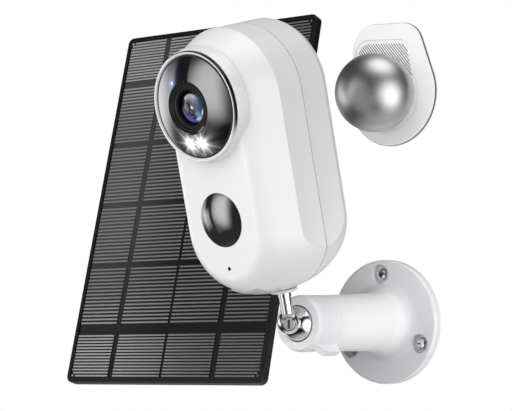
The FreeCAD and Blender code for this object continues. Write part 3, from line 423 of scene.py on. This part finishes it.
def lens_front():
    """Multi-coated front element: painted reflections in the coating's colours, the inner element's rings and small
    glints, drawn as emission about the lens axis.
    """
    g = Graph("lens_coated_painted_reflections")
    v = g.coords("body")
    x, y, z = g.split(v)
    dz = g.m("ADD", z, -108.9)

    def spot(cx, cz, rx, rz, turn=0.0, k=1.0):
        ca, sa = math.cos(math.radians(turn)), math.sin(math.radians(turn))
        ax = g.m("ADD", x, -cx - 1.3)
        az = g.m("ADD", dz, -cz)
        u = g.m("ADD", g.m("MULTIPLY", ax, ca / rx), g.m("MULTIPLY", az, sa / rx))
        w = g.m("ADD", g.m("MULTIPLY", ax, -sa / rz), g.m("MULTIPLY", az, ca / rz))
        d = g.m("ADD", g.m("MULTIPLY", u, u), g.m("MULTIPLY", w, w))
        return g.m("MULTIPLY", g.m("EXPONENT", g.m("MULTIPLY", d, -1.0)), k, clamp=True)

    def band(cx, cz, r0, w, k=1.0):
        ax = g.m("ADD", x, -cx)
        az = g.m("ADD", dz, -cz)
        rr = g.m("SQRT", g.m("ADD", g.m("MULTIPLY", ax, ax), g.m("MULTIPLY", az, az)))
        d = g.m("DIVIDE", g.m("ADD", rr, -r0), w)
        return g.m("MULTIPLY", g.m("EXPONENT", g.m("MULTIPLY", g.m("MULTIPLY", d, d), -1.0)), k)

    def sector(a0, half, soft):
        th = g.m("ARCTAN2", dz, x)
        d = g.m("ABSOLUTE", g.m("WRAP", g.m("ADD", th, -math.radians(a0)), math.pi, -math.pi))
        return g.ramp01(d, math.radians(half + soft), math.radians(half))

    c = g.mix(g.noise(v, 0.6, 2), (0.010, 0.009, 0.014), (0.018, 0.017, 0.024))
    painted_light = g.mix(1.0, c, (0, 0, 0), "MULTIPLY")

    def add(e, f, col):
        return g.mix(f, e, col, "ADD")

    # painted reflections: violet arc low on the left, blue edge on the right, warm edge low on the right
    painted_light = add(painted_light, g.m("MULTIPLY", band(0.4, 0.2, 6.0, 1.0), sector(232, 30, 34)), (0.09, 0.09, 0.34))
    painted_light = add(painted_light, g.m("MULTIPLY", band(-0.2, 0.0, 4.3, 0.30), sector(225, 34, 40)), (0.12, 0.14, 0.34))
    painted_light = add(painted_light, g.m("MULTIPLY", band(0.0, 0.0, 3.2, 0.5), sector(215, 30, 50)), (0.03, 0.05, 0.16))
    painted_light = add(painted_light, g.m("MULTIPLY", band(-0.4, 0.4, 5.6, 1.3), sector(14, 30, 36)), (0.035, 0.075, 0.19))
    painted_light = add(painted_light, spot(2.6, -3.4, 1.1, 1.8, 38), (0.12, 0.32, 0.38))
    painted_light = add(painted_light, spot(1.6, -5.2, 0.5, 1.3, -62), (0.45, 0.62, 0.62))
    painted_light = add(painted_light, spot(2.4, -5.7, 0.5, 1.4, -58), (0.62, 0.30, 0.55))
    painted_light = add(painted_light, spot(4.5, -2.6, 0.26, 1.5, -22), (0.75, 0.75, 0.85))
    # painted reflection: soft grey window of light at the top, its right side lilac, fading down into the dark pupil
    top = g.m("MULTIPLY", g.m("POWER", g.ramp01(dz, 0.6, 6.6), 1.5), g.ramp01(dz, 6.9, 6.2))
    top = g.m("MULTIPLY", top, g.m("MULTIPLY", g.ramp01(x, -2.9, -1.6), g.ramp01(x, 4.6, 2.0)))
    rl = g.m("SQRT", g.m("ADD", g.m("MULTIPLY", x, x), g.m("MULTIPLY", dz, dz)))
    top = g.m("MULTIPLY", top, g.ramp01(rl, 6.3, 5.6))
    painted_light = add(painted_light, top, (0.52, 0.51, 0.55))
    painted_light = add(painted_light, g.m("MULTIPLY", top, g.ramp01(x, 1.2, 3.6)), (0.10, 0.08, 0.24))
    # painted reflections: inner pupil ring and small bright glints
    painted_light = add(painted_light, g.m("MULTIPLY", band(1.3, -1.6, 2.4, 0.16), sector(250, 60, 60)), (0.12, 0.11, 0.18))
    painted_light = add(painted_light, spot(0.35, 0.1, 0.48, 0.62, 28, 1.4), (0.80, 0.83, 0.92))
    painted_light = add(painted_light, spot(-0.5, -1.9, 0.5, 0.7, 28), (0.16, 0.16, 0.20))
    painted_light = add(painted_light, spot(-3.9, 4.4, 0.5, 0.65, 20, 1.3), (0.62, 0.62, 0.65))
    g.shader(Base_Color=c, Roughness=0.03, IOR=1.5, Coat_Weight=0.4, Coat_Roughness=0.02,
             Emission_Color=painted_light, Emission_Strength=1.0)
    return g.mat


MATS["lens_coated_painted_reflections"] = lens_front()


def glow_mat(name, col, strength, fr, centre_z, hot):
    """Lit optic: its hot and tinted colours mixed by a soft noise."""
    g = Graph(name)
    v = g.coords(fr)
    n = g.noise(v, 1.2, 2)
    e = g.mix(n, hot, col)
    g.shader(Base_Color=(0.8, 0.8, 0.8), Roughness=0.15, Emission_Color=e, Emission_Strength=strength)
    MATS[name] = g.mat


glow_mat("flood_optic", (0.94, 0.97, 1.0), 5.0, "body", 92.8, (1.0, 1.0, 1.0))
glow_mat("status_optic", (0.30, 0.55, 1.0), 1.6, "body", 120.4, (0.75, 0.88, 1.0))


def phosphor():
    g = Graph("led_phosphor")
    v = g.coords("body")
    g.shader(Base_Color=g.mix(g.noise(v, 3, 2), (0.85, 0.7, 0.15), (0.9, 0.8, 0.3)), Roughness=0.5,
             Emission_Color=(1.0, 0.95, 0.8), Emission_Strength=1.5)
    return g.mat


MATS["led_phosphor"] = phosphor()


def rear_glass():
    g = Graph("lens_inner_glass")
    v = g.coords("body")
    g.shader(Base_Color=(0.8, 0.85, 0.95), Roughness=g.lerp(g.noise(v, 0.5, 2), 0.01, 0.03), IOR=1.6,
             Transmission_Weight=1.0)
    return g.mat


MATS["lens_inner_glass"] = rear_glass()


def pcb():
    """Circuit board: green mask with routed traces and small pads."""
    g = Graph("circuit_board")
    v = g.coords("body")
    br = g.node("ShaderNodeTexBrick")
    br.inputs["Scale"].default_value = 0.5
    br.inputs["Mortar Size"].default_value = 0.03
    g.link(v, br.inputs["Vector"])
    vd = g.voronoi(v, 0.8)
    c = g.mix(br.outputs["Fac"], (0.01, 0.12, 0.05), (0.03, 0.25, 0.1))
    c = g.mix(g.ramp01(vd, 0.22, 0.14), c, (0.6, 0.55, 0.4))
    g.shader(Base_Color=c, Roughness=0.35, Coat_Weight=0.4, Coat_Roughness=0.15, Normal=g.bump(vd, 0.1, 0.00005))
    return g.mat


MATS["circuit_board"] = pcb()


def cell_wrap():
    g = Graph("cell_wrap")
    v = g.coords("body")
    x, y, z = g.split(v)
    c = g.mix(g.ramp01(z, 103.5, 104.2), (0.03, 0.25, 0.5), (0.55, 0.55, 0.56))
    c = g.mix(g.m("MULTIPLY", g.noise(v, 0.3, 3), 0.3), c, (0.05, 0.35, 0.6))
    g.shader(Base_Color=c, Roughness=0.3, Normal=g.bump(g.noise(v, 0.8, 2), 0.1, 0.00005))
    return g.mat


MATS["cell_wrap"] = cell_wrap()


def panel_glass():
    """Laminated back sheet under clear resin: near-black, softly glossy, with a painted reflection haze lighter towards
    the upper left.
    """
    g = Graph("panel_laminate")
    v = g.coords("pan")
    n = g.noise(v, 0.05, 2)
    x, y, z = g.split(v)
    c = g.mix(n, (0.003, 0.003, 0.0035), (0.005, 0.005, 0.0055))
    # painted reflection haze, lighter towards the upper left
    painted_haze = g.m("MULTIPLY", g.ramp01(x, 8.0, -52.0), g.ramp01(z, -100.0, 10.0))
    c = g.mix(painted_haze, c, (0.062, 0.062, 0.063))
    rr = g.lerp(g.noise(v, 0.4, 4, 0.6), 0.16, 0.22)
    b = g.bump(g.noise(v, 1.2, 3), 0.04, 0.00005)
    g.shader(Base_Color=c, Roughness=rr, IOR=1.6, Normal=b)
    return g.mat


MATS["panel_laminate"] = panel_glass()


def silicon():
    """Solar cell between the printed lines: blue-black, fine crystal drift, and a painted reflection haze lighter
    towards the upper left.
    """
    g = Graph("solar_cell")
    v = g.coords("pan")
    n = g.noise(v, 0.35, 4, 0.6)
    x, y, z = g.split(v)
    c = g.mix(n, (0.002, 0.002, 0.0025), (0.005, 0.005, 0.006))
    # painted reflection haze, lighter towards the upper left
    painted_haze = g.m("MULTIPLY", g.ramp01(x, 8.0, -52.0), g.ramp01(z, -100.0, 10.0))
    c = g.mix(painted_haze, c, (0.07, 0.07, 0.071))
    rr = g.lerp(g.noise(v, 0.5, 4), 0.2, 0.28)
    g.shader(Base_Color=c, Roughness=rr, IOR=1.55, Normal=g.bump(g.noise(v, 2.0, 3), 0.04, 0.00004))
    return g.mat


MATS["solar_cell"] = silicon()


def silver():
    """Printed silver line: matt, slightly broken along its length, with a painted sheen lighter on the left and towards
    the top and bottom ends.
    """
    g = Graph("silver_print")
    v = g.coords("pan")
    mp = g.node("ShaderNodeMapping")
    mp.inputs["Scale"].default_value = (0.4, 3.0, 3.0)
    g.link(v, mp.inputs["Vector"])
    n = g.noise(mp.outputs["Vector"], 1.0, 4, 0.6)
    x, y, z = g.split(v)
    c = g.mix(n, (0.105, 0.105, 0.107), (0.15, 0.15, 0.152))
    # painted sheen: the lines are lighter on the left, most towards the top and bottom ends
    left = g.ramp01(x, 30.0, -45.0)
    ends = g.ramp01(g.m("ABSOLUTE", z), 40.0, 82.0)
    painted_sheen = g.m("MULTIPLY", left, g.m("MULTIPLY_ADD", ends, 0.15, 0.05))
    cl = g.node("ShaderNodeCombineColor")
    g.link(painted_sheen, cl.inputs[0]); g.link(painted_sheen, cl.inputs[1]); g.link(painted_sheen, cl.inputs[2])
    c = g.mix(1.0, c, cl.outputs[0], "ADD")
    g.shader(Base_Color=c, Roughness=g.lerp(n, 0.34, 0.5), Metallic=0.0, IOR=1.6, Normal=g.bump(n, 0.1, 0.00004))
    return g.mat


MATS["silver_print"] = silver()


def front_shell():
    """Housing plastic; the bore of the microphone port is painted black, standing in for its unlit shade."""
    g = Graph("housing_front_white")
    v = g.coords("body")
    x, y, z = g.split(v)
    dz = g.m("ADD", z, -33.9)
    r = g.m("SQRT", g.m("ADD", g.m("MULTIPLY", x, x), g.m("MULTIPLY", dz, dz)))
    # painted shade: the bore of the microphone port is black
    port = g.m("MULTIPLY", g.ramp01(r, 0.95, 0.88), g.ramp01(y, -20.0, -22.0))
    c = g.mix(g.noise(v, 0.06, 3), (0.925, 0.925, 0.93), (0.945, 0.945, 0.95))
    c = g.mix(port, c, (0.008, 0.008, 0.008))
    c = g.mix(g.ramp01(y, -1.22, -1.04), c, (0.36, 0.36, 0.365))      # painted shade in the parting line
    rr = g.lerp(g.noise(v, 0.9, 4, 0.6), 0.26, 0.34)
    b = g.bump(g.noise(v, 2.6, 4, 0.6), 0.04, 0.00004)
    b = g.bump(g.noise(v, 0.12, 2), 0.05, 0.0004, b)
    g.shader(Base_Color=c, Roughness=rr, Normal=b, IOR=1.5, Coat_Weight=0.25, Coat_Roughness=0.12)
    return g.mat


MATS["housing_front_white"] = front_shell()


def bracket_base():
    """Moulded bracket: painted shade makes the flat of the wall plate a cooler, duller white than the neck and the rim,
    darker towards its lower edge.
    """
    g = Graph("bracket_plate_white")
    v = g.coords("bracket")
    x, y, z = g.split(v)
    r = g.m("SQRT", g.m("ADD", g.m("MULTIPLY", x, x), g.m("MULTIPLY", y, y)))
    # painted shade on the flat of the wall plate, darker towards the bottom
    flat = g.m("MULTIPLY", g.ramp01(z, 11.0, 6.0), g.ramp01(r, 30.75, 30.2))
    plate_shade = g.mix(g.ramp01(y, -22.0, 16.0), (0.60, 0.595, 0.63), (0.72, 0.72, 0.735))
    c = g.mix(g.noise(v, 0.06, 3), (0.83, 0.83, 0.842), (0.85, 0.85, 0.862))
    c = g.mix(flat, c, plate_shade)
    rr = g.lerp(g.noise(v, 0.9, 4, 0.6), 0.37, 0.47)
    b = g.bump(g.noise(v, 3.2, 4, 0.6), 0.09, 0.00004)
    b = g.bump(g.noise(v, 0.12, 2), 0.05, 0.0004, b)
    g.shader(Base_Color=c, Roughness=rr, Normal=b, IOR=1.5)
    return g.mat


MATS["bracket_plate_white"] = bracket_base()

# ---------------------------------------------------------------- CAD nodes and their finishes
FINISH = {
    "front_shell": "housing_front_white", "rear_shell": "housing_white", "shell_gasket": "rubber_black",
    "tripod_insert": "brass", "shell_screws": "steel_plain", "lens_bezel": "bezel_plated",
    "face_plate": "face_plate_black", "lens_hood": "lens_barrel_black", "lens_front_glass": "lens_coated_painted_reflections",
    "lens_rear_glass": "lens_inner_glass", "lens_holder": "black_plastic", "image_sensor_board": "circuit_board",
    "flood_led_board": "circuit_board", "flood_leds": "led_phosphor", "flood_led_lenses": "flood_optic",
    "status_led": "status_optic", "pir_dome": "sensor_window_black", "pir_sensor": "steel_plain",
    "pir_board": "circuit_board", "microphone": "black_plastic", "chassis": "grey_plastic",
    "main_board": "circuit_board", "processor_shield": "steel_plain", "board_screws": "steel_plain",
    "battery_tray": "grey_plastic", "battery_cells": "cell_wrap", "speaker": "black_plastic",
    "wifi_antenna": "circuit_board", "rear_magnet": "steel_plain", "io_board": "circuit_board",
    "usb_port": "steel_plain", "sd_slot": "steel_plain", "reset_button": "grey_plastic", "port_flap": "rubber_grey",
    "bracket_base": "bracket_plate_white", "bracket_screws": "chrome_bracket", "ball_cup": "nylon",
    "cam_lock_collar": "bracket_white", "cam_ball_stud": "chrome_stud", "cam_lock_nut": "nut_white",
    "ball_mount_plate": "mount_white", "ball_mount_dome": "steel_ball", "ball_mount_core": "grey_plastic",
    "ball_mount_screw": "steel_plain", "ball_mount_pad": "rubber_pad_shadow_grey", "panel_frame": "black_satin_panel",
    "panel_backsheet": "panel_laminate", "panel_cells": "solar_cell", "panel_insert": "brass",
    "panel_junction_box": "black_satin_panel", "panel_cable_gland": "black_satin_panel",
    "panel_bracket_base": "black_satin_bracket", "panel_bracket_screws": "steel_bracket",
    "panel_lock_ring": "black_satin_bracket", "panel_ball_stud": "chrome_panel", "panel_lock_nut": "steel_bracket",
}
for name, obj in frame["nodes"].items():
    m = MATS[FINISH[name]]
    if not obj.material_slots:
        obj.data.materials.append(m)
    for s in obj.material_slots:
        s.material = m
    for p in obj.data.polygons:
        p.material_index = 0


# ---------------------------------------------------------------- new pieces
def add_mesh(name, bm, mats, body, smooth=False):
    me = bpy.data.meshes.new(name)
    bmesh.ops.recalc_face_normals(bm, faces=bm.faces)
    bm.to_mesh(me)
    bm.free()
    for m in mats:
        me.materials.append(MATS[m])
    o = bpy.data.objects.new(name, me)
    scene.collection.objects.link(o)
    for p in me.polygons:
        p.use_smooth = smooth
    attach(o, body)
    return o


def prism(bm, fr, pts, y0, y1, mi=0, bevel=0.0):
    """Closed prism over the (x, z) outline, from y0 to y1 in the local frame; bevel chamfers its y0 edge."""
    n = len(pts)
    cx = sum(p[0] for p in pts) / n
    cz = sum(p[1] for p in pts) / n

    def shrink(p, d):
        dx, dz = p[0] - cx, p[1] - cz
        return (p[0] - math.copysign(min(d, abs(dx)), dx), p[1] - math.copysign(min(d, abs(dz)), dz))

    rings = []
    if bevel:
        rings.append([bm.verts.new(world(fr, (*(q := shrink(p, bevel))[:1], y0, q[1]))) for p in pts])
        rings.append([bm.verts.new(world(fr, (p[0], y0 + bevel, p[1]))) for p in pts])
    else:
        rings.append([bm.verts.new(world(fr, (p[0], y0, p[1]))) for p in pts])
    rings.append([bm.verts.new(world(fr, (p[0], y1, p[1]))) for p in pts])
    fs = [bm.faces.new(rings[0]), bm.faces.new(list(reversed(rings[-1])))]
    for a, b in zip(rings, rings[1:]):
        for i in range(n):
            j = (i + 1) % n
            fs.append(bm.faces.new((a[i], b[i], b[j], a[j])))
    for f in fs:
        f.material_index = mi


COLS = ((-59.2, -35.3), (-32.0, -1.8), (-0.2, 29.5), (33.0, 59.2))
ROWS = ((71.7, 94.9), (35.6, 67.3), (0.9, 32.1), (-33.0, -2.5), (-66.6, -36.4), (-94.9, -72.7))


def panel_cells():
    """The laminated cells: a thin black cell under each block of printed silver lines."""
    bm = bmesh.new()
    for ci, (x0, x1) in enumerate(COLS):
        for ri, (z0, z1) in enumerate(ROWS):
            cl = ci == 0 and 1.6 or 0.0
            cr = ci == 3 and 1.6 or 0.0
            top, bot = ri == 0, ri == 5
            pts = []
            pts += [(x0, z0 + cl), (x0 + cl, z0)] if (bot and cl) else [(x0, z0)]
            pts += [(x1 - cr, z0), (x1, z0 + cr)] if (bot and cr) else [(x1, z0)]
            pts += [(x1, z1 - cr), (x1 - cr, z1)] if (top and cr) else [(x1, z1)]
            pts += [(x0 + cl, z1), (x0, z1 - cl)] if (top and cl) else [(x0, z1)]
            prism(bm, "pan", pts, 0.56, 0.9, 0)
            count = 14 if ri in (0, 5) else 16
            if ri in (1,):
                count = 17
            w = 0.86
            pitch = ((z1 - z0) - w) / (count - 1)
            for k in range(count):
                zc = z0 + w / 2 + k * pitch
                xa, xb = x0, x1
                edge = min(k, 99) if bot else (min(count - 1 - k, 99) if top else 99)
                if edge == 0:
                    xa += 2.4 * (ci == 0)
                    xb -= 2.4 * (ci == 3)
                elif edge == 1:
                    xa += 0.9 * (ci == 0)
                    xb -= 0.9 * (ci == 3)
                prism(bm, "pan", [(xa, zc - w / 2), (xb, zc - w / 2), (xb, zc + w / 2), (xa, zc + w / 2)], 0.45, 0.6, 1, 0.05)
    # one small round silver dot in each corner, a painted highlight standing in for the small corner glints
    for sx in (-1, 1):
        for sz in (-1, 1):
            cx, cz = sx * 58.7, sz * 94.3
            pts = [(cx + 0.62 * math.cos(math.radians(30 * k)), cz + 0.62 * math.sin(math.radians(30 * k))) for k in range(12)]
            prism(bm, "pan", pts, 0.42, 0.9, 1, 0.05)
    o = add_mesh("panel_cell_strings", bm, ["solar_cell", "silver_print"], "panel")
    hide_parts("panel_cells")


panel_cells()


def face_seal():
    """Thin black bead that closes the joint between the bezel lip and the black dome; it also stands in for the dark
    reflection along that joint.
    """
    bm = bmesh.new()
    n, m_ = 160, 8
    rad, yc = 22.88, -37.25
    tan, nor = (0.889, 0.458), (0.458, -0.889)                  # along and off the dome at its margin
    ring = []
    for i in range(n):
        a = 2 * math.pi * i / n
        row = []
        for j in range(m_):
            b = 2 * math.pi * j / m_
            u, q = 0.44 * math.cos(b), 0.15 * math.sin(b)
            r = rad + u * tan[0] + q * nor[0]
            row.append(bm.verts.new(world("body", (r * math.cos(a), yc + u * tan[1] + q * nor[1], 108.9 + r * math.sin(a)))))
        ring.append(row)
    for i in range(n):
        for j in range(m_):
            i2, j2 = (i + 1) % n, (j + 1) % m_
            bm.faces.new((ring[i][j], ring[i2][j], ring[i2][j2], ring[i][j2]))
    add_mesh("face_seal", bm, ["black_plastic"], "camera", True)


face_seal()

# ---------------------------------------------------------------- stage: floor
bm = bmesh.new()
segs = 96
rings = [(0.0, 0), (1.2, 0), (2.4, 0), (3.2, 0), (3.5, -0.02)]
prev = [bm.verts.new((0, 0, -0.35))]
for r, dz in rings[1:]:
    cur = [bm.verts.new((r * math.cos(2 * math.pi * k / segs), r * math.sin(2 * math.pi * k / segs), -0.35 + dz)) for k in range(segs)]
    for k in range(segs):
        j = (k + 1) % segs
        if len(prev) == 1:
            bm.faces.new((prev[0], cur[k], cur[j]))
        else:
            bm.faces.new((prev[k], cur[k], cur[j], prev[j]))
    prev = cur
me = bpy.data.meshes.new("floor")
bm.to_mesh(me)
bm.free()
floor = bpy.data.objects.new("floor", me)
scene.collection.objects.link(floor)
g = Graph("floor_pale")
v = g.coords("wall")
g.shader(Base_Color=g.mix(g.noise(v, 0.004, 2), (0.80, 0.80, 0.80), (0.83, 0.83, 0.83)), Roughness=0.7)
me.materials.append(g.mat)
floor.visible_glossy = False

# ---------------------------------------------------------------- light: a soft studio
wd = bpy.data.worlds.new("studio")
scene.world = wd
wd.use_nodes = True
nt = wd.node_tree
nt.nodes.clear()


class WG(Graph):
    def __init__(self, tree):
        self.nt = tree
        self.tc = None


w = WG(nt)
out = w.node("ShaderNodeOutputWorld")
tc = w.node("ShaderNodeTexCoord")
dx, dy, dz = w.split(tc.outputs["Generated"])
az = w.m("MULTIPLY", w.m("ARCTAN2", dx, w.m("MULTIPLY", dy, -1.0)), 180 / math.pi)     # 0 = straight in front (-Y), + = right
el = w.m("MULTIPLY", w.m("ARCSINE", dz), 180 / math.pi)


def window(a0, a1, e0, e1, sa0, sa1, se0, se1, level):
    f = w.m("MULTIPLY", w.ramp01(az, a0 - sa0, a0 + sa0), w.ramp01(az, a1 + sa1, a1 - sa1))
    f = w.m("MULTIPLY", f, w.m("MULTIPLY", w.ramp01(el, e0 - se0, e0 + se0), w.ramp01(el, e1 + se1, e1 - se1)))
    return w.m("MULTIPLY", f, level)


def dot(d):
    d = Vector(d).normalized()
    return w.m("ADD", w.m("ADD", w.m("MULTIPLY", dx, d.x), w.m("MULTIPLY", dy, d.y)), w.m("MULTIPLY", dz, d.z))


def towards(a, e):
    a, e = math.radians(a), math.radians(e)
    return (math.sin(a) * math.cos(e), -math.cos(a) * math.cos(e), math.sin(e))


def disc(a, e, inner, outer, level):
    """Round soft light: full inside the inner angle, nothing past the outer one."""
    return w.m("MULTIPLY", w.ramp01(dot(towards(a, e)), math.cos(math.radians(outer)), math.cos(math.radians(inner))), level)


gl = w.lerp(w.ramp01(el, -50.0, -5.0), 0.012, 0.03)
gl = w.m("ADD", gl, window(-122, -65.5, -13, 14, 8, 4.5, 10, 12, 1.05))     # left strip box
gl = w.m("ADD", gl, disc(-96, 3, 3, 22, 0.55))                              # its brightest part
gl = w.m("ADD", gl, window(-78, -54, -22, -2, 6, 5, 8, 6, 1.25))            # lower inner end of the strip
front = window(-45, -2, -39, 25, 1.5, 11, 3.0, 9, 1.0)                      # broad front box, brightest near its middle
front = w.m("MULTIPLY", front, w.m("ADD", disc(-13, -2, 3, 38, 1.85), 0.20))
gl = w.m("ADD", gl, front)
gl = w.m("ADD", gl, disc(38, -20, 4, 12, 0.4))                              # small front right reflector
gl = w.m("ADD", gl, disc(82, -8, 8, 42, 2.3))                               # right box
gl = w.m("ADD", gl, disc(98, -28, 6, 30, 0.8))
gl = w.m("ADD", gl, disc(94, 74, 10, 36, 2.2))                              # overhead box
gl = w.m("ADD", gl, disc(170, -62, 20, 62, 0.55))                           # low bounce behind
gl = w.m("ADD", gl, window(-240, -126, -60, 60, 12, 12, 16, 16, 0.3))
# diffuse light: even, with the front of the room brighter and the floor side dimmer
lobe = w.m("POWER", w.m("MAXIMUM", dot((-0.22, -0.95, 0.16)), 0.0), 2.0)
df = w.m("MULTIPLY_ADD", lobe, 1.22, 0.57)
df = w.m("MULTIPLY", df, w.lerp(w.ramp01(el, -70.0, 5.0), 0.54, 1.0))
df = w.m("MULTIPLY", df, w.lerp(w.ramp01(el, 20.0, 75.0), 1.0, 0.66))
lp = w.node("ShaderNodeLightPath")
lvl = w.node("ShaderNodeMix", data_type="FLOAT")
w.link(lp.outputs["Is Glossy Ray"], lvl.inputs[0])
w.link(df, lvl.inputs[2])
w.link(gl, lvl.inputs[3])
lvl2 = w.node("ShaderNodeMix", data_type="FLOAT")
w.link(lp.outputs["Is Camera Ray"], lvl2.inputs[0])
w.link(lvl.outputs[0], lvl2.inputs[2])
lvl2.inputs[3].default_value = 1.0
bg = w.node("ShaderNodeBackground")
bg.inputs["Color"].default_value = (1, 1, 1, 1)
w.link(lvl2.outputs[0], bg.inputs["Strength"])
w.link(bg.outputs[0], out.inputs["Surface"])
wd.cycles.sampling_method = "NONE"


def area(name, loc, target, size, power, glossy=False):
    ld = bpy.data.lights.new(name, "AREA")
    ld.shape = "RECTANGLE"
    ld.size, ld.size_y = size
    ld.energy = power
    lo_ = bpy.data.objects.new(name, ld)
    scene.collection.objects.link(lo_)
    lo_.location = loc
    lo_.rotation_euler = (Vector(target) - Vector(loc)).to_track_quat("-Z", "Y").to_euler()
    lo_.visible_glossy = glossy
    return lo_


area("key_soft", (0.15, -0.85, 0.75), (-0.02, -0.05, 0.04), (0.45, 0.45), 0.9)
fill = area("neck_fill", (0.50, -0.13, 0.05), (0.0, -0.032, -0.012), (0.10, 0.10), 0.020)
fill.data.spread = math.radians(17)
fill2 = area("mount_fill", (0.30, -0.42, 0.0), (0.022, 0.0, 0.098), (0.10, 0.10), 0.012)
fill2.data.spread = math.radians(20)

# ---------------------------------------------------------------- camera
cd = bpy.data.cameras.new("camera")
cam = bpy.data.objects.new("camera", cd)
scene.collection.objects.link(cam)
cd.lens = 123.8
cd.sensor_width = 36.0
cd.clip_start, cd.clip_end = 0.01, 50.0
cam.location = (0.502910, -0.732175, 0.012081)
fwd = Vector((-0.62575, 0.77827, 0.05234)).normalized()
right = fwd.cross(Vector((0, 0, 1))).normalized()
up = right.cross(fwd)
cam.rotation_euler = Matrix((right, up, -fwd)).transposed().to_euler()
scene.camera = cam

scene.view_settings.view_transform = "Standard"
scene.view_settings.look = "None"
scene.view_settings.exposure = 0.0
scene.view_settings.gamma = 1.0
